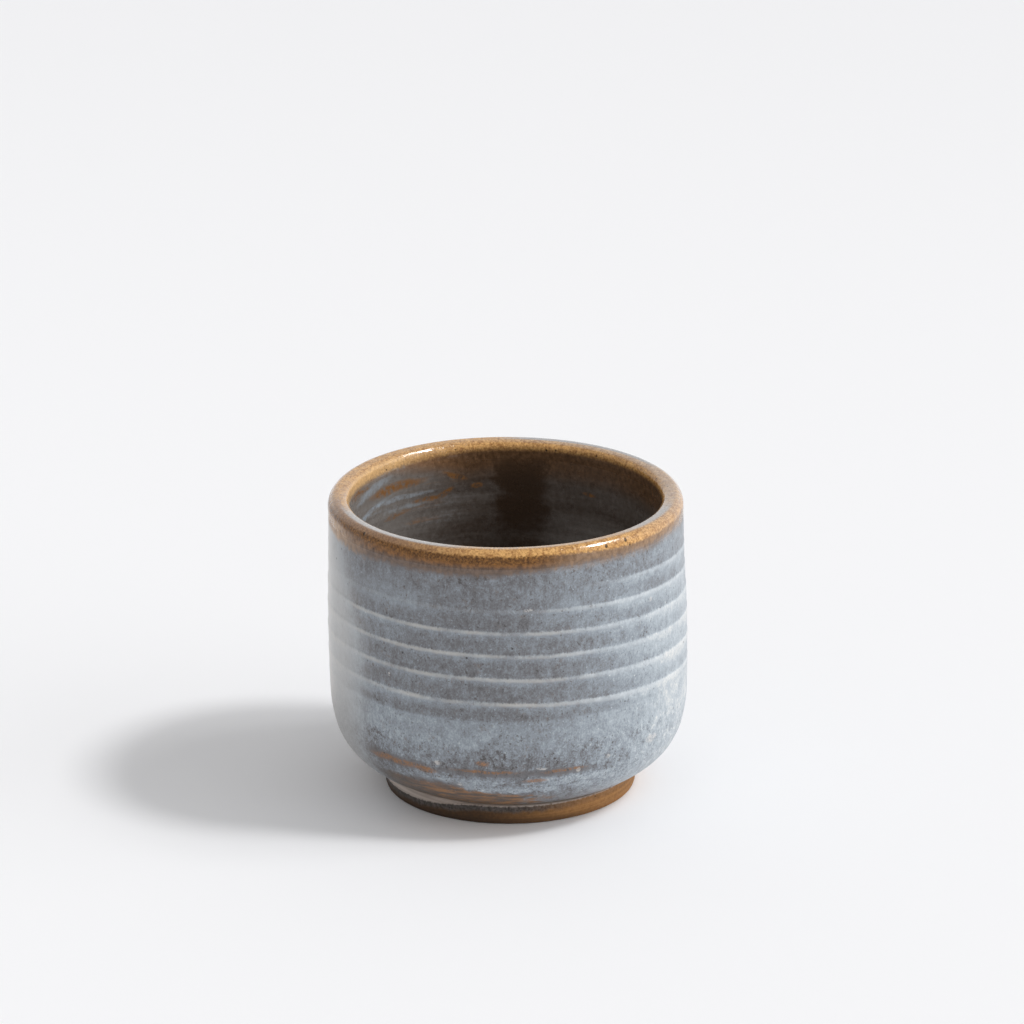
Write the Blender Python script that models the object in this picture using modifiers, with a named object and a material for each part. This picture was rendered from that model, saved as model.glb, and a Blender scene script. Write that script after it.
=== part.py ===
"""A wheel-thrown stoneware coffee cup with no handle.

Units are metres and +Z is up. The origin is on the table, at the middle of the foot.
The clay wall, the turned foot ring and the three coats of glaze are separate closed bodies,
all turned about the Z axis. Every surface is worked out from the cup's visible skin: an inset
of zero is the skin itself, and a deeper surface is the same curve at a larger inset.
"""
import math

import bpy

# Driving dimensions of the cup
CUP_HEIGHT = 0.0700           # table to the top of the lip
BELLY_RADIUS = 0.0412         # widest part of the wall
LIP_DRAW = 0.0008             # how far the lip is drawn in from the belly
LIP_ROUND = 0.0017            # rounding of the lip's two edges
BELLY_HEIGHT = 0.0240         # where the wall turns into the lower curve
LOWER_CURVE_POWER = 1.8       # 2 would be an ellipse, less is flatter
WALL_THICKNESS = 0.0048       # from the outer glaze to the liner glaze
FLOOR_THICKNESS = 0.0052      # clay and liner glaze above the foot well
INNER_CORNER_RADIUS = 0.0130  # round corner between the inner wall and the floor

# Driving dimensions of the foot
FOOT_RADIUS = 0.0288          # outside of the ring that stands on the table
FOOT_HEIGHT = 0.0050          # bare clay that shows below the glaze
FOOT_WIDTH = 0.0046           # width of the ring
FOOT_EDGE = 0.0006            # bevel where the ring meets the table

# Driving dimensions of the throwing grooves, counted down from the rim coat
GROOVE_START = 0.0039         # edge of the rim coat to the first ridge
GROOVE_PITCH = 0.0055         # ridge to ridge
GROOVE_DEPTH = 0.0003         # ridge to the middle of a groove

# Driving dimensions of the glaze
GLAZE_THICKNESS = 0.0007      # every coat
RIM_BAND = 0.0043             # how far the rim coat comes down each side of the lip
BOND_GAP = 0.0003             # clearance between neighbouring bodies

# Smoothness of the turned surfaces
TURN_STEPS = 48
GROOVE_POINTS = 3
CURVE_POINTS = 6
WALL_POINTS = 2
ROUND_POINTS = 3

# Sizes that follow from the ones above
LIP_RADIUS = BELLY_RADIUS - LIP_DRAW
CLAY_INSET = GLAZE_THICKNESS + BOND_GAP
UNDERSIDE = FOOT_HEIGHT + CLAY_INSET
INNER_FLOOR = UNDERSIDE + FLOOR_THICKNESS
GLAZE_LINE_RADIUS = FOOT_RADIUS + BOND_GAP
RIM_EDGE = CUP_HEIGHT - RIM_BAND


def clear_scene():
    """Remove every object, so that the script can be run again in an open file."""
    for old in list(bpy.data.objects):
        bpy.data.objects.remove(old, do_unlink=True)


def wall_radius(height):
    """Outside radius of the wall above the lower curve, without its grooves."""
    rise = (height - BELLY_HEIGHT) / (CUP_HEIGHT - BELLY_HEIGHT)
    return BELLY_RADIUS - LIP_DRAW * max(rise, 0.0) ** 2


def ridged_wall(inset):
    """The grooved wall from its first ridge down to its last, at a given depth in the skin."""
    first = RIM_EDGE - GROOVE_START
    grooves = int((first - BELLY_HEIGHT) / GROOVE_PITCH)
    points = []
    for step in range(grooves * GROOVE_POINTS + 1):
        turn = step / GROOVE_POINTS
        height = first - turn * GROOVE_PITCH
        groove = GROOVE_DEPTH * abs(math.sin(math.pi * turn))
        points.append((wall_radius(height) - groove - inset, height))
    return points


def lower_curve(inset):
    """The curve from the belly in to the glaze line beside the foot."""
    reach = BELLY_RADIUS - inset - GLAZE_LINE_RADIUS
    drop = BELLY_HEIGHT - FOOT_HEIGHT - inset
    power = 2.0 / LOWER_CURVE_POWER
    points = []
    for step in range(CURVE_POINTS):
        angle = 0.5 * math.pi * step / CURVE_POINTS
        across = math.cos(angle) ** power
        down = math.sin(angle) ** power
        points.append((GLAZE_LINE_RADIUS + reach * across, BELLY_HEIGHT - drop * down))
    points.append((GLAZE_LINE_RADIUS, FOOT_HEIGHT + inset))
    return points


def lip(inset):
    """Over the lip, from its inner round to its outer one."""
    edge = max(LIP_ROUND - inset, BOND_GAP)
    top = CUP_HEIGHT - inset
    inner_centre = LIP_RADIUS - WALL_THICKNESS + inset + edge
    outer_centre = LIP_RADIUS - inset - edge
    points = []
    for centre, start in ((inner_centre, math.pi), (outer_centre, 0.5 * math.pi)):
        for step in range(ROUND_POINTS + 1):
            angle = start - 0.5 * math.pi * step / ROUND_POINTS
            points.append((centre + edge * math.cos(angle), top - edge + edge * math.sin(angle)))
    return points


def inner_bowl(inset):
    """From the middle of the floor, round the corner, to the foot of the inner wall."""
    corner = INNER_CORNER_RADIUS + inset
    corner_height = INNER_FLOOR + INNER_CORNER_RADIUS
    wall = wall_radius(corner_height) - WALL_THICKNESS + inset
    points = [(0.0, INNER_FLOOR - inset)]
    for step in range(CURVE_POINTS + 1):
        angle = 0.5 * math.pi * step / CURVE_POINTS
        points.append((wall - corner + corner * math.sin(angle),
                       corner_height - corner * math.cos(angle)))
    return points


def inner_wall_point(height, inset):
    """A point of the inner wall."""
    return (wall_radius(height) - WALL_THICKNESS + inset, height)


def inner_wall(top, inset):
    """The inner wall from above the round corner up to a given height."""
    corner_height = INNER_FLOOR + INNER_CORNER_RADIUS
    rise = (top - corner_height) / WALL_POINTS
    heights = [corner_height + rise * step for step in range(1, WALL_POINTS + 1)]
    return [inner_wall_point(height, inset) for height in heights]


def outer_wall_point(height, inset):
    """A point of the plain outer wall above the grooves."""
    return (wall_radius(height) - inset, height)


def clay_body_profile():
    """Thrown wall and floor: floor, inner wall, lip, grooved outer wall, lower curve, underside."""
    profile = inner_bowl(CLAY_INSET)
    profile += inner_wall(RIM_EDGE, CLAY_INSET)
    profile += lip(CLAY_INSET)
    profile += [outer_wall_point(RIM_EDGE, CLAY_INSET)]
    profile += ridged_wall(CLAY_INSET)
    profile += lower_curve(CLAY_INSET)
    profile += [(0.0, UNDERSIDE)]
    return profile


def foot_ring_profile():
    """Turned ring: outside, flat standing face, inside, and the top under the clay body."""
    inner = FOOT_RADIUS - FOOT_WIDTH
    top = UNDERSIDE - BOND_GAP
    return [
        (FOOT_RADIUS, top),
        (FOOT_RADIUS, FOOT_EDGE),
        (FOOT_RADIUS - FOOT_EDGE, 0.0),
        (inner + FOOT_EDGE, 0.0),
        (inner, FOOT_EDGE),
        (inner, top),
    ]


def outer_glaze_profile():
    """Coat on the grooved wall and the lower curve, from the rim coat down to the glaze line."""
    top = RIM_EDGE - BOND_GAP
    skin = [outer_wall_point(top, 0.0)] + ridged_wall(0.0) + lower_curve(0.0)
    back = [outer_wall_point(top, GLAZE_THICKNESS)]
    back += ridged_wall(GLAZE_THICKNESS) + lower_curve(GLAZE_THICKNESS)
    return skin + back[::-1]


def liner_glaze_profile():
    """Coat on the floor and the inner wall, up to the rim coat."""
    top = RIM_EDGE - BOND_GAP
    skin = inner_bowl(0.0) + inner_wall(top, 0.0)
    back = inner_bowl(GLAZE_THICKNESS) + inner_wall(top, GLAZE_THICKNESS)
    return skin + back[::-1]


def rim_glaze_profile():
    """Coat over the lip, down to the same height inside and outside."""
    skin = [inner_wall_point(RIM_EDGE, 0.0)] + lip(0.0) + [outer_wall_point(RIM_EDGE, 0.0)]
    back = [inner_wall_point(RIM_EDGE, GLAZE_THICKNESS)] + lip(GLAZE_THICKNESS)
    back += [outer_wall_point(RIM_EDGE, GLAZE_THICKNESS)]
    return skin + back[::-1]


def make_material(name, colour, roughness):
    """A plain Principled material."""
    material = bpy.data.materials.new(name)
    material.use_nodes = True
    shader = material.node_tree.nodes["Principled BSDF"]
    shader.inputs["Base Color"].default_value = (*colour, 1.0)
    shader.inputs["Roughness"].default_value = roughness
    shader.inputs["Metallic"].default_value = 0.0
    material.diffuse_color = (*colour, 1.0)
    return material


def turn(name, profile, material, collection, axis):
    """Turn a profile about Z. A profile that starts and ends on the axis stays open there."""
    corners = [(radius, 0.0, height) for radius, height in profile]
    edges = [(index, index + 1) for index in range(len(corners) - 1)]
    if profile[0][0] > 0.0:
        edges.append((len(corners) - 1, 0))
    mesh = bpy.data.meshes.new(name)
    mesh.from_pydata(corners, edges, [])
    mesh.materials.append(material)
    piece = bpy.data.objects.new(name, mesh)
    collection.objects.link(piece)
    piece.parent = axis
    screw = piece.modifiers.new("turning", "SCREW")
    screw.axis = "Z"
    screw.angle = 2.0 * math.pi
    screw.steps = TURN_STEPS
    screw.render_steps = TURN_STEPS
    screw.use_merge_vertices = True
    screw.merge_threshold = 0.00001
    screw.use_smooth_shade = True
    return piece


clear_scene()
cup = bpy.data.collections.new("coffee_cup")
bpy.context.scene.collection.children.link(cup)
turning_axis = bpy.data.objects.new("turning_axis", None)
cup.objects.link(turning_axis)

turn("clay_body", clay_body_profile(),
     make_material("stoneware", (0.21, 0.13, 0.08), 0.80), cup, turning_axis)
turn("foot_ring", foot_ring_profile(),
     make_material("bare_foot_clay", (0.17, 0.10, 0.05), 0.75), cup, turning_axis)
turn("outer_glaze", outer_glaze_profile(),
     make_material("blue_grey_glaze", (0.24, 0.26, 0.29), 0.35), cup, turning_axis)
turn("liner_glaze", liner_glaze_profile(),
     make_material("grey_brown_glaze", (0.17, 0.16, 0.15), 0.30), cup, turning_axis)
turn("rim_glaze", rim_glaze_profile(),
     make_material("amber_glaze", (0.38, 0.24, 0.12), 0.25), cup, turning_axis)
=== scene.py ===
"""The looks of a wheel-thrown stoneware coffee cup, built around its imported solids.

Lengths in the sections are in millimetres, as a potter would give them, and become metres in the
meshes. Angles round the cup are 0 at the front, which faces the camera, and positive to the right.
"""
import math

import bpy
import numpy as np
from mathutils import Matrix, Vector


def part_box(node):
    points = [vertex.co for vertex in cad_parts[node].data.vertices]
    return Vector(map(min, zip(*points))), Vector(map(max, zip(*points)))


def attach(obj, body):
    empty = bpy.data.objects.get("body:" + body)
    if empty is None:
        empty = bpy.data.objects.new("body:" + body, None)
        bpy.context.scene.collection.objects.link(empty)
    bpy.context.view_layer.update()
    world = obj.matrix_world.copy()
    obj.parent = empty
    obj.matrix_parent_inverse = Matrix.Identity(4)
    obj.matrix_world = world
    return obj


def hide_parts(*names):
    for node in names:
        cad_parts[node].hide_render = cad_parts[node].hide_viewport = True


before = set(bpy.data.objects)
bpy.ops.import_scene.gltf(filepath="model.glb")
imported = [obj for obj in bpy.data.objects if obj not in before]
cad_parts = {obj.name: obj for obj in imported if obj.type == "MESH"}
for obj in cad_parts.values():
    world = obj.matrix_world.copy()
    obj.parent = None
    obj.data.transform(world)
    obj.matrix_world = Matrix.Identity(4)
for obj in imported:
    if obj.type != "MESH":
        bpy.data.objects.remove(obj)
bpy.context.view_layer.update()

# Thrown clay: the wall and floor of the cup, drawn up on the wheel from one lump of brown
# stoneware. Glaze covers all of it except the underside inside the foot, which was cut with a
# turning tool after the clay had stiffened.
MM = 0.001
CUP_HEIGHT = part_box("rim_glaze")[1].z / MM
RIM_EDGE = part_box("rim_glaze")[0].z / MM
BELLY_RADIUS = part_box("outer_glaze")[1].x / MM
GLAZE_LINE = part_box("outer_glaze")[0].z / MM
CLAY_DEPTH = 1.0        # the clay lies this far below the skin of the glaze
UNDERSIDE = 6.0         # table to the clay inside the foot
WELL_RADIUS = 24.0      # where the underside meets the foot
TURN_STEPS = 360        # flats in one turn of the wheel
SKIN_SPACING = 0.4      # from point to point along the skin
CLAY_THINNING = 3       # the hidden clay keeps one point in this many
SHARP_EDGE = 40.0       # degrees from which an edge shows as a crease

INNER_KNOTS = [(0.0, 11.3), (10.0, 11.35), (20.0, 11.7), (28.0, 13.3), (33.2, 17.2), (35.8, 23.5),
               (36.3, 32.0), (36.2, 46.0), (35.8, 60.0), (35.65, RIM_EDGE)]
LIP_KNOTS = [(35.6, 68.2), (35.68, 68.7), (35.78, 68.98), (35.98, 69.205), (36.185, 69.42),
             (36.4, 69.63), (36.9, 69.82), (38.0, 69.96), (38.6, CUP_HEIGHT), (39.2, 69.86),
             (39.52, 69.66), (39.7, 69.485), (39.87, 69.305), (40.04, 69.12), (40.2, 68.75), (40.4, 68.0)]
OUTER_KNOTS = [(40.42, RIM_EDGE), (40.7, 56.0), (41.05, 46.0), (BELLY_RADIUS, 36.0), (41.1, 27.0),
               (40.75, 20.0), (39.6, 15.0), (37.45, 11.0), (34.4, 8.0), (31.6, 6.2),
               (29.45, GLAZE_LINE + 0.2)]


def smooth_spans(knots, spacing):
    """Points of a smooth curve through (radius, height) knots, as one list for each knot to the next."""
    knots = np.array(knots)
    along = np.concatenate([[0.0], np.cumsum(np.linalg.norm(np.diff(knots, axis=0), axis=1))])
    slopes = np.gradient(knots, along, axis=0)
    spans = []
    for index in range(len(knots) - 1):
        length = along[index + 1] - along[index]
        count = max(1, round(length / spacing))
        t = np.arange(count)[:, None] / count
        spans.append((2 * t**3 - 3 * t**2 + 1) * knots[index]
                     + (t**3 - 2 * t**2 + t) * length * slopes[index]
                     + (3 * t**2 - 2 * t**3) * knots[index + 1]
                     + (t**3 - t**2) * length * slopes[index + 1])
    return spans + [knots[-1:]]


def sunk(points, depth):
    """The same curve at a depth below the skin."""
    along = np.gradient(points, axis=0)
    along /= np.linalg.norm(along, axis=1)[:, None]
    return points + depth * np.stack([along[:, 1], -along[:, 0]], axis=1)


def screen_colour(red, green, blue):
    """A colour as it looks on a screen, made linear for the shader."""
    levels = [level / 255.0 for level in (red, green, blue)]
    return (*[level / 12.92 if level <= 0.04045 else ((level + 0.055) / 1.055) ** 2.4
              for level in levels], 1.0)


def spread_stops(elements, colours):
    """Spread screen colours evenly over a colour ramp, which starts with a stop at each end."""
    for index in range(1, len(colours) - 1):
        elements.new(index / (len(colours) - 1))
    for element, colour in zip(elements, colours):
        element.color = screen_colour(*colour)


class Field:
    """A value, vector or colour in a node tree, for use in Python expressions."""

    def __init__(self, tree, socket):
        self.tree = tree
        self.socket = socket

    def node(self, kind, settings, inputs, output=0):
        """Add any node: its settings or its ramp's stops, then the values or links of its sockets."""
        node = self.tree.nodes.new(kind)
        for name, value in settings.items():
            if name == "stops":
                spread_stops(node.color_ramp.elements, value)
            else:
                setattr(node, name, value)
        for key, value in inputs.items():
            if isinstance(value, Field):
                self.tree.links.new(value.socket, node.inputs[key])
            else:
                node.inputs[key].default_value = value
        return Field(self.tree, node.outputs[output])

    def math(self, operation, *values):
        """A Math node on this value and any others."""
        return self.node("ShaderNodeMath", {"operation": operation}, dict(enumerate((self, *values))))

    def __add__(self, other):
        return self.math("ADD", other)

    __radd__ = __add__

    def __sub__(self, other):
        return self.math("SUBTRACT", other)

    def __rsub__(self, other):
        return self.node("ShaderNodeMath", {"operation": "SUBTRACT"}, {0: other, 1: self})

    def __mul__(self, other):
        return self.math("MULTIPLY", other)

    __rmul__ = __mul__

    def __truediv__(self, other):
        return self.math("DIVIDE", other)

    def ramp(self, low, high):
        """A smooth step from 0 at low to 1 at high."""
        return self.node("ShaderNodeMapRange", {"interpolation_type": "SMOOTHSTEP"},
                         {"Value": self, "From Min": low, "From Max": high})

    def blend(self, first, second):
        """A colour mixed from the first, where this value is 0, to the second, where it is 1."""
        return self.node("ShaderNodeMix", {"data_type": "RGBA"}, {0: self, 6: first, 7: second}, 2)

    def shades(self, first, second):
        """A blend of two colours that are given as they look on a screen."""
        return self.blend(screen_colour(*first), screen_colour(*second))

    def stretched(self, across, up):
        """This place with its level axes and its height scaled for a texture."""
        return self.node("ShaderNodeVectorMath", {"operation": "MULTIPLY"},
                         {0: self, 1: (across, across, up)})

    def noise(self, across, up, detail=3.0, roughness=0.55):
        """Cloudy noise from 0 to 1, with its cycles per millimetre across and up the wall."""
        return self.node("ShaderNodeTexNoise", {},
                         {"Vector": self.stretched(across, up), "Scale": 1.0,
                          "Detail": detail, "Roughness": roughness})

    def cells(self, across, up):
        """The distance to the nearest of many scattered points, 0 at each point."""
        return self.node("ShaderNodeTexVoronoi", {},
                         {"Vector": self.stretched(across, up), "Scale": 1.0})

    def pressed(self, shader):
        """Use this height in millimetres as the fine relief of a shader."""
        relief = self.node("ShaderNodeBump", {}, {"Distance": MM, "Height": self}, "Normal")
        relief.to(shader.inputs["Normal"])

    def split(self):
        """The three values of a vector."""
        first = self.node("ShaderNodeSeparateXYZ", {}, {0: self})
        return [Field(self.tree, output) for output in first.socket.node.outputs]

    def to(self, socket):
        """Link this to a socket of another node."""
        self.tree.links.new(self.socket, socket)


RIDGE_LEVEL = 34.0      # a ridge at the front
RIDGE_PITCH = 5.98      # from that ridge to the next
RIDGE_SPREAD = 0.00354  # how the ridges crowd together with each millimetre up
RIDGE_TILT = 1.6        # half of what they dip by towards the back


def angle_round(x, y):
    """The angle round the cup, in radians. It jumps from pi to -pi at the back."""
    return x.math("ARCTAN2", 0.0 - y)


def right_side(turn):
    """1 as far as the right side, fading to 0 before the back, so that nothing is cut off there."""
    return turn.ramp(3.0, 2.0)


def left_side(turn):
    """The same for the left side."""
    return turn.ramp(-3.0, -2.0)


def below_ridge(place):
    """How far a place is below the throwing ridge above it, as a share of the pitch."""
    x, y, z = place.split()
    turn = angle_round(x, y)
    wander = 0.9 * (place.noise(0.035, 0.035, 2.0) - 0.5)
    level = z + RIDGE_TILT * (1.0 - turn.math("COSINE")) - RIDGE_LEVEL + wander
    phase = level * (1.0 + RIDGE_SPREAD * level) / RIDGE_PITCH + turn / (2.0 * math.pi)
    return (0.0 - phase).math("FRACT")


def ridge_fade(turn, z):
    """1 on the ridged part of the wall. The ridges reach higher on the right."""
    to_the_right = turn.ramp(0.1, 0.9) * right_side(turn)
    return z.ramp(28.0, 32.0) * (z + 6.5 * (1.0 - to_the_right)).ramp(65.5, 58.5)


def shoulder_drop(turn):
    """How much further down the bevel of the foot comes, in millimetres. It is widest on the left."""
    return 1.5 * (turn + 1.1).math("COSINE").ramp(0.68, 1.0)


def throwing_marks():
    """The tree that moves a turned surface in or out as the potter's hands did."""
    tree = bpy.data.node_groups.new("throwing marks", "GeometryNodeTree")
    tree.interface.new_socket("Geometry", in_out="INPUT", socket_type="NodeSocketGeometry")
    for name in ("ridge depth", "finger depth", "lean", "out of round", "dents", "lip wave", "bevel"):
        tree.interface.new_socket(name, in_out="INPUT", socket_type="NodeSocketFloat")
    tree.interface.new_socket("material", in_out="INPUT", socket_type="NodeSocketMaterial")
    tree.interface.new_socket("Geometry", in_out="OUTPUT", socket_type="NodeSocketGeometry")
    given = {socket.name: Field(tree, socket)
             for socket in tree.nodes.new("NodeGroupInput").outputs if socket.name}
    position = Field(tree, tree.nodes.new("GeometryNodeInputPosition").outputs[0])
    place = position.stretched(1.0 / MM, 1.0 / MM)
    x, y, z = place.split()
    turn = angle_round(x, y)

    below = below_ridge(place)
    ridges = below * below.ramp(1.0, 0.83) * ridge_fade(turn, z)
    ridges = ridges * (0.4 + place.noise(0.06, 0.12, 2.0) * 1.2) * given["ridge depth"]
    fingers = (place.noise(0.02, 0.2, 2.0) - 0.5) * z.ramp(15.0, 25.0)
    fingers = fingers * z.ramp(64.0, 56.0) * given["finger depth"]
    oval = (turn * 2.0 + 0.6).math("COSINE") * z.ramp(6.0, 40.0) * given["out of round"]
    dents = (place.noise(0.045, 0.06, 2.0) - 0.5) * z.ramp(5.5, 14.0) * given["dents"]
    outward = dents + fingers - oval - ridges
    lift = ((turn * 2.0 + 1.0).math("SINE") + (turn * 3.0).math("COSINE") * 0.5) * z.ramp(50.0, 68.0)
    lift = lift * given["lip wave"]
    lift = lift - shoulder_drop(turn) * z.ramp(0.8, 4.5) * z.ramp(4.9, 4.7) * given["bevel"]

    direction = place.node("ShaderNodeVectorMath", {"operation": "NORMALIZE"},
                           {0: place.stretched(1.0, 0.0)})
    shift = direction.node("ShaderNodeVectorMath", {"operation": "SCALE"},
                           {0: direction, "Scale": outward * MM})
    drift = z.node("ShaderNodeCombineXYZ", {}, {"X": z * given["lean"] * MM, "Z": lift * MM})
    offset = shift.node("ShaderNodeVectorMath", {"operation": "ADD"}, {0: shift, 1: drift})
    moved = position.node("GeometryNodeSetPosition", {},
                          {"Geometry": given["Geometry"], "Offset": offset})
    real = moved.node("GeometryNodeRealizeInstances", {}, {"Geometry": moved})
    dressed = real.node("GeometryNodeSetMaterial", {},
                        {"Geometry": real, "Material": given["material"]})
    dressed.to(tree.nodes.new("NodeGroupOutput").inputs[0])
    return tree


THROWING_MARKS = throwing_marks()
HAND_MADE = {"lean": -0.0100, "out of round": 0.1, "dents": 0.3, "lip wave": 0.1}


def turned(name, outline, marks, material):
    """Turn an outline about the cup's axis, press the marks into it, and keep a plain mesh."""
    corners = [(radius * MM, 0.0, height * MM) for radius, height in outline]
    edges = [(index, index + 1) for index in range(len(corners) - 1)]
    if corners[0][0] > 0.0:
        edges.append((len(corners) - 1, 0))
    mesh = bpy.data.meshes.new(name + " outline")
    mesh.from_pydata(corners, edges, [])
    piece = bpy.data.objects.new(name, mesh)
    bpy.context.scene.collection.objects.link(piece)
    wheel = piece.modifiers.new("wheel", "SCREW")
    wheel.axis = "Z"
    wheel.steps = TURN_STEPS
    wheel.render_steps = TURN_STEPS
    wheel.use_merge_vertices = True
    wheel.merge_threshold = 0.01 * MM
    hands = piece.modifiers.new("hands", "NODES")
    hands.node_group = THROWING_MARKS
    settings = {**marks, "material": material}
    for item in THROWING_MARKS.interface.items_tree:
        if item.in_out == "INPUT" and item.name in settings:
            hands[item.identifier] = settings[item.name]
    ready = piece.evaluated_get(bpy.context.evaluated_depsgraph_get())
    piece_mesh = bpy.data.meshes.new_from_object(ready)
    piece.modifiers.clear()
    piece.data = piece_mesh
    piece_mesh.name = name
    piece_mesh.shade_smooth()
    piece_mesh.set_sharp_from_angle(angle=math.radians(SHARP_EDGE))
    bpy.data.meshes.remove(mesh)
    return piece


def new_material(name):
    """A material, its Principled shader, and the place on the piece in millimetres."""
    material = bpy.data.materials.new(name)
    material.use_nodes = True
    tree = material.node_tree
    place = Field(tree, tree.nodes.new("ShaderNodeTexCoord").outputs["Object"])
    return material, tree.nodes["Principled BSDF"], place.stretched(1.0 / MM, 1.0 / MM)


clay, shader, place = new_material("brown stoneware")
grit = place.noise(1.1, 1.1, 4.0, 0.7)
tool_rings = place.node("ShaderNodeTexWave", {"wave_type": "RINGS", "rings_direction": "Z"},
                        {"Vector": place, "Scale": 0.16, "Distortion": 0.6, "Detail": 2.0})
(grit * 0.6 + tool_rings * 0.4).shades((96, 70, 48), (150, 116, 84)).to(shader.inputs["Base Color"])
shader.inputs["Roughness"].default_value = 0.85
(grit * 0.05 + tool_rings * 0.12).pressed(shader)

SKIN = smooth_spans(INNER_KNOTS + LIP_KNOTS + OUTER_KNOTS, SKIN_SPACING)
LINER_SPANS = slice(0, len(INNER_KNOTS) - 1)
RIM_SPANS = slice(len(INNER_KNOTS) - 1, len(INNER_KNOTS) + len(LIP_KNOTS))
OUTER_SPANS = slice(len(INNER_KNOTS) + len(LIP_KNOTS), -1)

clay_skin = sunk(np.concatenate(SKIN), CLAY_DEPTH)[::CLAY_THINNING]
clay_skin[0, 0] = 0.0
thrown_clay = turned("thrown_clay", [*clay_skin, (WELL_RADIUS, UNDERSIDE), (0.0, UNDERSIDE)],
                     HAND_MADE, clay)
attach(thrown_clay, "root")
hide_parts("clay_body")

# Turned foot: a ring of the same clay, cut with a turning tool and left bare, with a small bevel
# under the glaze line and softened edges where it stands on the table.
FOOT_OUTLINE = [(27.9, 5.9), (28.3, 5.5), (28.35, 5.0), (28.75, 4.86), (28.85, 4.85), (29.15, 4.68),
                (29.24, 4.58), (29.24, 4.4), (29.12, 3.4), (28.98, 2.0), (28.88, 0.7), (28.68, 0.15),
                (28.3, 0.0), (25.2, 0.0), (24.5, 0.3), (24.2, 0.9), (24.3, 4.6), (23.6, 5.6),
                (22.8, 5.95)]


def radius_at(x, y):
    """The distance from the cup's axis, in millimetres."""
    return (x * x + y * y).math("SQRT")


foot_clay, shader, place = new_material("bare foot clay")
x, y, z = place.split()
turn = angle_round(x, y)
grain = place.noise(1.4, 1.4, 4.0, 0.7)
tool_lines = place.noise(0.03, 2.2, 3.0, 0.6)
# Amber clay on the right and back, dark clay on the front-left, away from the lamps: the dark side is
# partly painted shade.
lit_amber_side = turn.ramp(-0.35, 0.75) + turn.ramp(-2.0, -2.9)
bare = (grain * 0.5 + tool_lines * 0.5).ramp(0.25, 0.75)
shaded_dark_clay = bare.shades((50, 32, 14), (84, 56, 26))
amber_clay = bare.shades((122, 81, 38), (172, 123, 68))
outer_face = radius_at(x, y).ramp(26.5, 27.5)
bevel_height = z + shoulder_drop(turn)
stain_edge = bevel_height + 2.2 * (place.noise(0.4, 0.4, 4.0, 0.65) - 0.5)
washed = turn.ramp(0.0, 0.7) + turn.ramp(-2.0, -2.9)
stain = stain_edge.ramp(2.5, 3.7) * (1.0 - 0.8 * washed) * outer_face
stain_grey = grain.ramp(0.3, 0.7).shades((46, 41, 37), (92, 87, 85))
thin_glaze = (bevel_height + 0.9 * (grain - 0.5)).ramp(4.25, 4.7) * z.ramp(4.95, 4.86) * outer_face
thin_white = tool_lines.ramp(0.3, 0.7).shades((160, 145, 135), (190, 177, 167))
# Dark in the small groove under the glaze's lower edge: painted shade.
groove_shade = z.ramp(4.88, 5.0) * outer_face
# Darker at the foot's base on the front-left, where it meets the table: painted contact shade.
painted_contact_shade = z.ramp(2.2, 0.3) * turn.ramp(1.1, 0.4) * turn.ramp(-2.9, -2.0)
pits = place.cells(0.45, 0.45).ramp(0.16, 0.08) * place.noise(0.4, 0.4).ramp(0.5, 0.6)
colour = lit_amber_side.blend(shaded_dark_clay, amber_clay)
colour = (stain * 0.9).blend(colour, stain_grey)
colour = thin_glaze.blend(colour, thin_white)
colour = groove_shade.blend(colour, screen_colour(40, 32, 26))
colour = (painted_contact_shade * 0.55).blend(colour, screen_colour(40, 26, 12))
colour = (pits * 0.7).blend(colour, screen_colour(40, 28, 18))
colour.to(shader.inputs["Base Color"])
(0.78 - 0.3 * thin_glaze).to(shader.inputs["Roughness"])
(grain * 0.05 + tool_lines * 0.06 - pits * 0.1).pressed(shader)
turned_foot = turned("turned_foot", FOOT_OUTLINE, {**HAND_MADE, "bevel": 1.0}, foot_clay)
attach(turned_foot, "root")
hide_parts("foot_ring")

# Liner glaze: the grey-brown coat that was poured in and tipped out again. It shows the grooves
# that the fingers left inside the wall.
GLAZE_DEPTH = 0.7       # thickness of every coat
BACK_THINNING = 4       # the hidden back of a coat keeps one point in this many


def coat(spans):
    """The outline of a coat of glaze over some spans of the skin."""
    points = np.concatenate([*SKIN[spans], SKIN[spans.stop][:1]])
    back = sunk(points, GLAZE_DEPTH)
    if points[0, 0] == 0.0:
        back[0, 0] = 0.0
    coarse = np.concatenate([back[:-1:BACK_THINNING], back[-1:]])
    return np.concatenate([points, coarse[::-1]])


def brushed(place, strokes):
    """1 on separate streaks: angle in degrees, height, reach in degrees, width, rise for each degree."""
    x, y, z = place.split()
    degrees = angle_round(x, y) * (180.0 / math.pi)
    ragged = 1.6 * (place.noise(0.25, 0.2, 4.0, 0.65) - 0.5)
    total = 0.0
    for angle, height, reach, width, rise in strokes:
        beside = (degrees - angle).math("WRAP", 180.0, -180.0)
        along = beside / reach
        across = (z + ragged - height - rise * beside) / width
        total = total + (along * along + across * across).ramp(1.3, 0.1)
    return total


RUSTY_STREAKS = [(-133.0, 62.5, 16.0, 1.4, -0.01), (-148.0, 57.4, 7.0, 0.7, 0.0),
                 (-155.5, 58.2, 4.0, 0.9, -0.3), (-159.5, 62.4, 5.0, 0.8, 0.2),
                 (-168.0, 59.3, 2.5, 0.8, 0.0), (148.0, 58.6, 3.0, 0.6, 0.03),
                 (60.0, 52.0, 14.0, 0.8, 0.04)]
BLUE_STREAKS = [(-113.0, 58.5, 20.0, 0.8, -0.13), (-104.0, 55.5, 12.0, 1.1, -0.1),
                (-119.0, 64.2, 13.0, 1.3, -0.11), (-136.0, 59.5, 17.0, 0.7, 0.02)]


def thick_side(turn):
    """1 on the side that the liner was poured down, where it lies thick and pale, and 0 opposite."""
    return (turn + 1.75).math("COSINE").ramp(0.35, 0.98)


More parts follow.
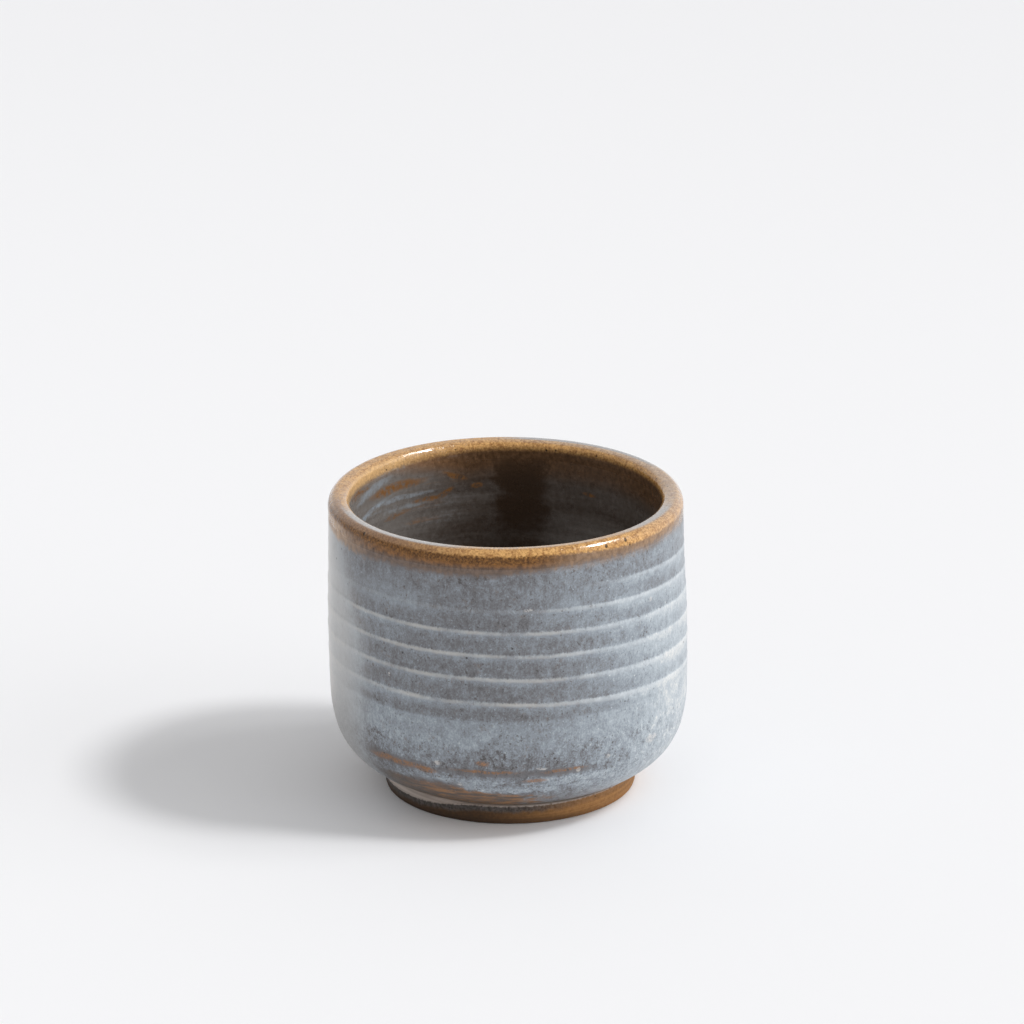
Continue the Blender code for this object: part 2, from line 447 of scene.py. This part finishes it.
def liner_colour(place):
    """Grey-brown glaze with level streaks, bluish where thick, brown where thin, and a painted shade."""
    x, y, z = place.split()
    turn = angle_round(x, y)
    bands = place.noise(0.022, 0.3, 4.0, 0.6)
    fine = place.noise(1.0, 0.8, 4.0, 0.65)
    from_middle = radius_at(x, y).ramp(6.0, 32.0)
    thick = 0.5 + from_middle * (thick_side(turn) - 0.5)
    # A darker strip down the back wall of the inside, below the lip: painted shade.
    painted_back_shade = (turn - 3.055 + 0.2 * (place.noise(0.1, 0.25) - 0.5)).math("COSINE").ramp(0.982, 0.997)
    painted_back_shade = painted_back_shade * z.ramp(67.0, 64.0) * (0.35 * from_middle + 0.65 * z.ramp(47.0, 53.0))
    tone = (bands * 0.5 + fine * 0.4 + thick * 0.33 - painted_back_shade * 0.26
            + 0.2 * z.ramp(56.0, 47.0) * turn.math("SINE").ramp(0.1, 0.6) * from_middle)
    colour = tone.ramp(0.2, 0.98).shades((65, 50, 38), (142, 137, 133))
    thin = (z + 3.0 * (place.noise(0.12, 0.12) - 0.5) - 5.5 * thick).ramp(59.5, 64.5)
    brown = (0.25 + 0.5 * fine + 0.45 * thick).ramp(0.3, 0.9).shades((66, 44, 24), (154, 114, 78))
    colour = (thin * (0.85 - 0.6 * painted_back_shade)).blend(colour, brown)
    blue = brushed(place, BLUE_STREAKS) + (bands * 0.8 + fine * 0.2).ramp(0.5, 0.62) * thick
    colour = (blue * fine.ramp(0.25, 0.6) * 0.65).blend(colour, screen_colour(162, 172, 182))
    rusty = brushed(place, RUSTY_STREAKS) + place.noise(0.05, 0.3, 4.0, 0.6).ramp(0.58, 0.7) * thick
    return (rusty * fine.ramp(0.32, 0.58) * 0.9).blend(colour, screen_colour(138, 94, 46))


liner, shader, place = new_material("grey-brown liner glaze")
liner_colour(place).to(shader.inputs["Base Color"])
(0.22 + 0.12 * place.noise(0.3, 0.3)).to(shader.inputs["Roughness"])
(place.noise(0.05, 0.5, 4.0, 0.6) * 0.1 + place.noise(0.8, 0.8) * 0.02).pressed(shader)
liner_coat = turned("liner_coat", coat(LINER_SPANS), {**HAND_MADE, "finger depth": 0.5}, liner)
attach(liner_coat, "root")
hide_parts("liner_glaze")

# Outer glaze: the blue-grey coat from the rim down to the foot. It turns pale on the throwing
# ridges and darker in the grooves below them, partly painted shade of the ridges, and breaks to
# brown in bands low on the wall. The cup was dipped, so its front carries a thinner, darker patch.
# Its far left edge carries a painted sheen.
BREAK_LINES = [(-40.0, 16.8, 12.0, 1.0, 0.0), (-28.0, 16.2, 4.0, 0.9, 0.0),
               (-8.0, 17.3, 12.0, 0.45, 0.0), (-9.0, 19.6, 2.5, 0.8, 0.0), (8.0, 15.0, 4.5, 0.6, 0.0),
               (18.0, 17.2, 8.0, 0.5, 0.02)]
DARK_LINES = [(-40.0, 17.0, 16.0, 1.7, 0.0), (-8.0, 17.0, 17.0, 1.2, 0.0), (17.0, 16.8, 13.0, 1.1, 0.0),
              (-28.0, 12.5, 14.0, 1.6, 0.05)]
SPECKLED = [(-48.0, 21.8, 6.0, 2.2, -0.05), (-3.0, 21.6, 9.0, 1.6, 0.0), (26.0, 22.7, 8.0, 1.9, 0.0),
            (49.0, 22.3, 11.0, 1.8, 0.0), (37.0, 16.8, 13.0, 1.3, 0.02), (-14.0, 63.5, 9.0, 1.8, 0.0),
            (140.0, 21.8, 9.0, 1.8, 0.0), (-155.0, 22.4, 8.0, 2.0, 0.0)]
PALER = [(-42.0, 33.2, 14.0, 2.2, 0.0), (-40.0, 58.0, 14.0, 5.0, 0.0), (18.0, 61.0, 14.0, 5.0, 0.0),
         (-46.0, 48.5, 12.0, 3.5, 0.0), (30.0, 54.5, 22.0, 5.0, 0.0)]
PALE_DRIPS = [(6.0, 56.3, 1.6, 0.35, 0.05), (-24.0, 18.6, 1.6, 0.6, 0.0), (22.5, 16.7, 0.9, 0.7, 0.0),
              (33.0, 18.6, 1.0, 0.5, 0.0), (-17.0, 13.2, 1.0, 0.4, 0.0), (10.0, 18.0, 2.0, 0.3, 0.0),
              (52.0, 53.0, 0.6, 0.6, 0.0), (-41.0, 37.8, 0.4, 0.7, 0.0), (52.0, 19.3, 3.0, 1.2, 0.0),
              (150.0, 18.2, 1.5, 0.6, 0.0)]
GLAZE_TONES = [(76, 72, 71), (108, 109, 113), (139, 147, 155), (171, 180, 187), (214, 214, 211)]


def pale_share(place):
    """0 in the dark patch at the front, 1 where the glaze lies thick and pale."""
    x, y, z = place.split()
    turn = angle_round(x, y) + 0.2 * (place.noise(0.05, 0.05, 2.0) - 0.5)
    edge = turn + 0.22 * z.ramp(42.0, 66.0)
    left = edge.ramp(-0.87, -1.0) * 0.5 + edge.ramp(-0.95, -1.35) * 0.5
    right = turn.ramp(0.05 - 0.25 * z.ramp(52.0, 60.0), 1.25)
    right = right * (1.0 - 0.65 * z.ramp(40.0, 66.0) * right_side(turn))
    return left + right


def blue_grey(place):
    """Colour of the outer glaze, with painted shade and sheen, and its fine relief in millimetres."""
    x, y, z = place.split()
    turn = angle_round(x, y)
    below = below_ridge(place)
    clouds = place.noise(0.1, 0.14, 3.0) - 0.5
    patches = place.noise(0.42, 0.36, 4.0, 0.6) - 0.5
    mottle = place.noise(0.95, 0.7, 4.0, 0.7) - 0.5
    grains = place.noise(2.6, 2.2, 3.0, 0.7) - 0.5
    scatter = place.noise(0.28, 0.28, 2.0)
    flecks = place.noise(1.5, 1.25, 3.0, 0.6).ramp(0.59, 0.68) * scatter.ramp(0.38, 0.6)
    runs = place.noise(1.5, 0.16, 3.0, 0.6) - 0.5
    pale = pale_share(place)
    left = (turn + 0.22 * z.ramp(42.0, 66.0)).ramp(-0.78, -1.18) * left_side(turn)
    right = turn.ramp(0.35, 0.9) * right_side(turn)

    ridged = ridge_fade(turn, z)
    frayed = below + 0.13 * mottle + 0.1 * grains
    line = frayed.ramp(0.15 + 0.08 * right, 0.02) + frayed.ramp(0.9, 0.99)
    line = line * ridged * place.noise(0.13, 0.25, 4.0, 0.65).ramp(0.22, 0.7) * (1.0 - 0.7 * left)
    faint = z.ramp(52.5, 56.0) * turn.ramp(0.6, -0.1) * left_side(turn)
    line = line * (1.0 - 0.6 * faint)
    # Paler just under each ridge and darker lower in the groove: partly glaze breaking over the ridge,
    # partly painted shade of the ridges.
    fading = below + 0.25 * mottle + 0.35 * runs
    crest_pale_and_shade = (fading.ramp(0.45 + 0.35 * (left + right), 0.0) + below.ramp(0.88, 1.0)) * ridged
    band_edge = z + 1.5 * clouds + 1.2 * mottle
    light_band = band_edge.ramp(30.4, 29.3) * band_edge.ramp(16.5, 25.0)
    light_band = light_band * (1.0 + 0.5 * turn.ramp(-0.1, -0.6) * left_side(turn)
                               - 0.8 * left - 0.5 * right)
    broken = (mottle + grains + 0.5).ramp(0.25, 0.62)
    spots = place.noise(0.7, 0.6, 4.0, 0.75).ramp(0.5, 0.62)
    spotted = (0.35 * z.ramp(16.0, 19.0) * z.ramp(26.0, 23.0) + 0.4 * z.ramp(57.0, 61.0) + 0.25 * ridged
               + 1.3 * brushed(place, SPECKLED))
    pool_edge = z + 4.0 * (place.noise(0.3, 0.45, 4.0, 0.65) - 0.5)
    pool = pool_edge.ramp(10.9, 11.9) * pool_edge.ramp(16.2, 14.4) * turn.ramp(-0.75, -0.3)
    pool = pool * turn.ramp(0.95, 0.4) * place.noise(0.14, 0.8, 3.0).ramp(0.3, 0.58)
    bead = z.ramp(7.2, 5.8) * turn.ramp(0.2, 0.7) * right_side(turn)
    specks = place.noise(1.3, 1.1, 3.0, 0.65).ramp(0.64, 0.74) * scatter.ramp(0.62, 0.4)
    pinholes = place.cells(0.3, 0.3).ramp(0.1, 0.05) * place.noise(0.25, 0.25).ramp(0.52, 0.6)

    busy = (1.0 + 0.6 * z.ramp(27.0, 18.0) - 0.4 * left
            - 0.25 * z.ramp(49.0, 56.0) * turn.ramp(-0.2, -0.7) * left_side(turn))
    # On the right the painted ridge shade is stronger.
    tone = (0.29 + 0.43 * pale + 0.17 * crest_pale_and_shade + 0.07 * right * (crest_pale_and_shade - 0.8 * ridged)
            + 0.16 * light_band - 0.19 * spots * spotted + 0.26 * pool
            + 0.2 * bead + 0.08 * brushed(place, PALER) + 0.25 * clouds + 0.14 * runs
            + (0.4 * patches + 0.52 * mottle + 0.55 * grains + 0.3 * specks - 0.3 * flecks) * busy)
    colour = tone.node("ShaderNodeValToRGB", {"stops": GLAZE_TONES}, {"Fac": tone})
    # Towards the far left edge the glaze turns whiter: partly pale thick glaze, partly a painted sheen at
    # the edge.
    limb_sheen = turn.ramp(-1.24, -1.5)
    pale_glaze_and_sheen = limb_sheen.shades((182, 178, 174), (216, 213, 210))
    left_glaze_and_sheen = z.ramp(12.0, 34.0).blend(screen_colour(156, 150, 145), pale_glaze_and_sheen)
    colour = (left * (0.6 + 0.2 * limb_sheen)).blend(colour, left_glaze_and_sheen)
    rust = place.noise(0.9, 0.8, 4.0, 0.7).ramp(0.55, 0.7) * scatter.ramp(0.4, 0.65) * (1.0 - 0.8 * pale)
    colour = (rust * 0.45).blend(colour, screen_colour(112, 92, 76))
    ridge_glaze = (turn.ramp(0.1, 0.6) * right_side(turn)).shades((196, 192, 186), (210, 214, 217))
    colour = (line * (0.62 - 0.12 * right)).blend(colour, ridge_glaze)

    thin_edge = z + 4.5 * turn.math("MAXIMUM", -0.45) + 4.0 * (place.noise(0.35, 0.4, 4.0, 0.65) - 0.5)
    thin = thin_edge.ramp(11.4, 10.2) * turn.ramp(-1.0, -0.75) * (turn + 0.9 * patches).ramp(0.3, 0.02)
    rusty = place.noise(0.22, 1.3, 4.0, 0.65).ramp(0.4, 0.64) * turn.ramp(-0.9, -0.4)
    brown = rusty.shades((80, 71, 65), (152, 109, 69))
    colour = (thin * (0.95 - 0.9 * grains)).blend(colour, brown)
    colour = (brushed(place, DARK_LINES) * broken * 0.75).blend(colour, screen_colour(92, 84, 81))
    streaks = place.noise(0.06, 0.9, 4.0, 0.65).ramp(0.58, 0.68) * z.ramp(14.0, 15.5) * z.ramp(19.0, 17.5)
    streaks = streaks * turn.math("COSINE").ramp(0.2, -0.3)
    bare_brown = (grains + 0.5).ramp(0.3, 0.7).shades((106, 82, 62), (158, 108, 62))
    colour = ((brushed(place, BREAK_LINES) + streaks) * broken * 0.85).blend(colour, bare_brown)
    drips = brushed(place, PALE_DRIPS) * (mottle + grains + 0.5).ramp(0.3, 0.6)
    colour = (drips * 0.7).blend(colour, screen_colour(204, 199, 194))
    colour = (pinholes * 0.8).blend(colour, screen_colour(52, 48, 48))
    return colour, mottle * 0.06 + runs * 0.02 + line * 0.03 - pinholes * 0.08


def broken_amber(place):
    """The outer glaze as it nears the lip, where it breaks from blue-grey to mauve and amber."""
    x, y, z = place.split()
    turn = angle_round(x, y)
    fleck = place.noise(0.9, 0.7, 4.0, 0.65)
    pale = pale_share(place)
    colour, relief = blue_grey(place)
    front_left = turn.ramp(-1.6, -0.9) * turn.ramp(0.35, -0.2)
    far_left = turn.ramp(-0.8, -1.15) * turn.ramp(-2.2, -1.6)
    right = turn.ramp(0.1, 0.5) * right_side(turn)
    ragged = (z + 1.2 * (place.noise(0.14, 0.14, 2.0) - 0.5) + 2.4 * (fleck - 0.5) + 1.3 * front_left
              + 0.6 * far_left - 0.5 * right)
    flecked = fleck.ramp(0.3, 0.7)
    dark_mauve = flecked.shades((84, 69, 60), (118, 98, 84))
    pale_mauve = flecked.shades((144, 112, 82), (178, 146, 114))
    mauve = (pale + 0.5 * far_left + 0.3 * turn.ramp(0.05, 0.35)).blend(dark_mauve, pale_mauve)
    colour = ragged.ramp(64.5 - 0.9 * right, 66.3 + 0.5 * right).blend(colour, mauve)
    amber = (z + 1.2 * (fleck - 0.5)).ramp(65.6, 67.0) * turn.ramp(-1.2, -0.7) * turn.ramp(0.4, 0.05)
    colour = (amber * 0.8).blend(colour, flecked.shades((92, 58, 24), (150, 102, 50)))
    return colour, relief


outer, shader, place = new_material("blue-grey glaze")
colour, relief = broken_amber(place)
colour.to(shader.inputs["Base Color"])
(0.3 + 0.14 * place.noise(0.5, 0.4)).to(shader.inputs["Roughness"])
relief.pressed(shader)
outer_coat = turned("outer_coat", coat(OUTER_SPANS), {**HAND_MADE, "ridge depth": 0.17}, outer)
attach(outer_coat, "root")
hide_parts("outer_glaze")

# Rim glaze: the same glaze, run thin over the lip until the iron in the clay colours it amber. It
# is glossiest here, dark amber under the outer edge on the front, where glaze collects and where
# shade is painted, and worn at a few small pits. Grey patches on its top are a painted reflection.
LIP_RADIUS = 40.0       # outer edge of the lip, which has the pits: angle in degrees, height
PITS = [(33.0, 68.8), (41.0, 69.0), (-53.0, 68.9), (-86.0, 68.5), (128.0, 68.7), (-150.0, 69.0)]
rim, shader, place = new_material("amber rim glaze")
x, y, z = place.split()
turn = angle_round(x, y)
radius = radius_at(x, y)
fleck = place.noise(2.0, 2.0, 4.0, 0.7)
outside = broken_amber(place)[0]
# Dark amber under the lip's outer edge on the front: partly glaze that collected there, partly painted
# shade.
gathered_shade_edge = z - 0.8 * turn.ramp(-0.2, -1.1) + 0.8 * (fleck - 0.5)
gathered_and_shaded = gathered_shade_edge.ramp(66.6, 67.4) * turn.ramp(-1.7, -1.3) * turn.ramp(0.45, 0.05)
outside = (gathered_and_shaded * 0.9).blend(outside, fleck.ramp(0.35, 0.72).shades((72, 44, 16), (150, 104, 52)))
gold_tone = 0.7 * fleck + 0.3 * place.noise(0.5, 0.5)
gold = gold_tone.ramp(0.33, 0.67).shades((148, 100, 50), (224, 175, 109))
dim_gold = fleck.ramp(0.3, 0.7).shades((118, 86, 60), (160, 122, 86))
dimmed = turn.ramp(-0.1, -0.75) * turn.ramp(-1.7, -1.3) * radius.ramp(38.2, 38.8)
gold = dimmed.blend(gold, dim_gold)
# Grey patches on the lip's top, at the front-left, the right and the back: a painted reflection of the
# bright room.
grey = fleck.ramp(0.25, 0.75).shades((146, 143, 142), (186, 184, 184))
painted_reflection = (radius.ramp(39.5, 38.7) * (turn + 0.8).math("COSINE").ramp(0.82, 0.95)
          + 0.3 * (turn - 2.0).math("COSINE").ramp(0.2, 0.8)
          + radius.ramp(38.6, 37.6) * (0.1 + 0.6 * (turn - 1.05).math("COSINE").ramp(0.94, 0.99))
          + radius.ramp(37.0, 37.8) * (turn - 2.6).math("COSINE").ramp(0.8, 0.95))
top = (painted_reflection * (0.45 + fleck)).blend(gold, grey)
thick = thick_side(turn)
pale_gold = (thick * 0.4).blend(gold, screen_colour(240, 206, 160))
inside_edge = z + 0.8 * (fleck - 0.5) + 1.2 * thick
inside = inside_edge.ramp(67.4, 69.0).blend(liner_colour(place), pale_gold)
inner_side = radius.ramp(37.4, 36.4) * z.ramp(69.8, 69.4)
upper_edge = z + fleck - 0.5 + turn.ramp(0.2, 0.8) * right_side(turn) - 0.2 * turn.ramp(-0.3, -0.9)
upper = upper_edge.ramp(68.4, 69.2)
colour = inner_side.blend(upper.blend(outside, top), inside)
pits = place.cells(0.4, 0.4).ramp(0.13, 0.06) * place.noise(0.3, 0.3).ramp(0.5, 0.58)
for angle, height in PITS:
    along = (turn - math.radians(angle)) * LIP_RADIUS
    pits = pits + (along * along + (z - height) * (z - height)).ramp(0.22, 0.06) * radius.ramp(38.5, 39.0)
(pits * 0.85).blend(colour, screen_colour(44, 30, 18)).to(shader.inputs["Base Color"])
(0.1 + 0.1 * fleck).to(shader.inputs["Roughness"])
z.ramp(68.7, 69.5).to(shader.inputs["Coat Weight"])
shader.inputs["Specular IOR Level"].default_value = 0.25
shader.inputs["Coat Roughness"].default_value = 0.08
waves = place.noise(0.36, 0.36) * 0.3 + place.noise(0.9, 0.9) * 0.12
(waves + fleck * 0.02 - pits * 0.15).pressed(shader)
rim_coat = turned("rim_coat", coat(RIM_SPANS), HAND_MADE, rim)
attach(rim_coat, "root")
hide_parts("rim_glaze")

# Studio: a wide sheet of white paper that the cup stands on. It is also the background, a little
# darker further back, where the falloff of the light is painted.
FLOOR_HALF = 6.0        # metres from its middle to each side
NEAR_PAPER = (0.92, 0.92, 0.935, 1.0)
FAR_PAPER = (0.855, 0.855, 0.87, 1.0)
PAPER_FADE = 1000.0     # from the one to the other
floor_mesh = bpy.data.meshes.new("floor")
floor_mesh.from_pydata([(-FLOOR_HALF, -FLOOR_HALF, 0.0), (FLOOR_HALF, -FLOOR_HALF, 0.0),
                        (FLOOR_HALF, FLOOR_HALF, 0.0), (-FLOOR_HALF, FLOOR_HALF, 0.0)],
                       [], [(0, 1, 2, 3)])
floor = bpy.data.objects.new("floor", floor_mesh)
bpy.context.scene.collection.objects.link(floor)
paper, shader, place = new_material("white paper")
# Darker further back: painted falloff of the light.
further_back = place.split()[1].ramp(0.0, PAPER_FADE)
further_back.blend(NEAR_PAPER, FAR_PAPER).to(shader.inputs["Base Color"])
shader.inputs["Roughness"].default_value = 0.9
shader.inputs["Specular IOR Level"].default_value = 0.0
floor_mesh.materials.append(paper)

# Light: two soft panels side by side high on the right, a broad white card low on the right, and the
# room, which is paler near the horizon than overhead.
ROOM_OVERHEAD = 0.48
ROOM_HORIZON = 0.42     # what the horizon has beyond that


def lamp(name, direction, strength, spread):
    """A distant lamp: the direction it stands in, its light square-on, and its width in radians."""
    light = bpy.data.objects.new(name, bpy.data.lights.new(name, "SUN"))
    light.data.energy = strength * math.pi
    light.data.angle = spread
    light.rotation_mode = "QUATERNION"
    light.rotation_quaternion = Vector(direction).to_track_quat("Z", "Y")
    bpy.context.scene.collection.objects.link(light)


lamp("front panel", (0.630, -0.090, 0.772), 0.375, 0.16)
lamp("back panel", (0.627, 0.070, 0.776), 0.105, 0.20)
lamp("white card", (0.94, -0.25, 0.21), 0.36, 1.1)
room = bpy.data.worlds.new("room light")
room.use_nodes = True
tree = room.node_tree
direction = Field(tree, tree.nodes.new("ShaderNodeTexCoord").outputs["Generated"])
overhead = direction.split()[2].math("MAXIMUM", 0.0)
tree.nodes["Background"].inputs["Color"].default_value = (1.0, 1.0, 1.0, 1.0)
glow = ROOM_OVERHEAD + ROOM_HORIZON * (1.0 - overhead) * (1.0 - overhead)
glow.to(tree.nodes["Background"].inputs["Strength"])
bpy.context.scene.world = room

# Camera: a long lens well back from the cup, looking down on it from the photograph's height.
CAMERA_PLACE = (0.00075, -1.2896, 0.5246)
CAMERA_TIP = 19.61      # degrees below level
CAMERA_ROLL = -0.36     # degrees
camera = bpy.data.objects.new("camera", bpy.data.cameras.new("camera"))
camera.data.lens = 210.9
camera.data.sensor_width = 36.0
camera.data.clip_end = 20.0
camera.matrix_world = (Matrix.Translation(CAMERA_PLACE)
                       @ Matrix.Rotation(math.radians(90.0 - CAMERA_TIP), 4, "X")
                       @ Matrix.Rotation(math.radians(CAMERA_ROLL), 4, "Z"))
bpy.context.scene.collection.objects.link(camera)
bpy.context.scene.camera = camera
bpy.context.scene.view_settings.view_transform = "Standard"
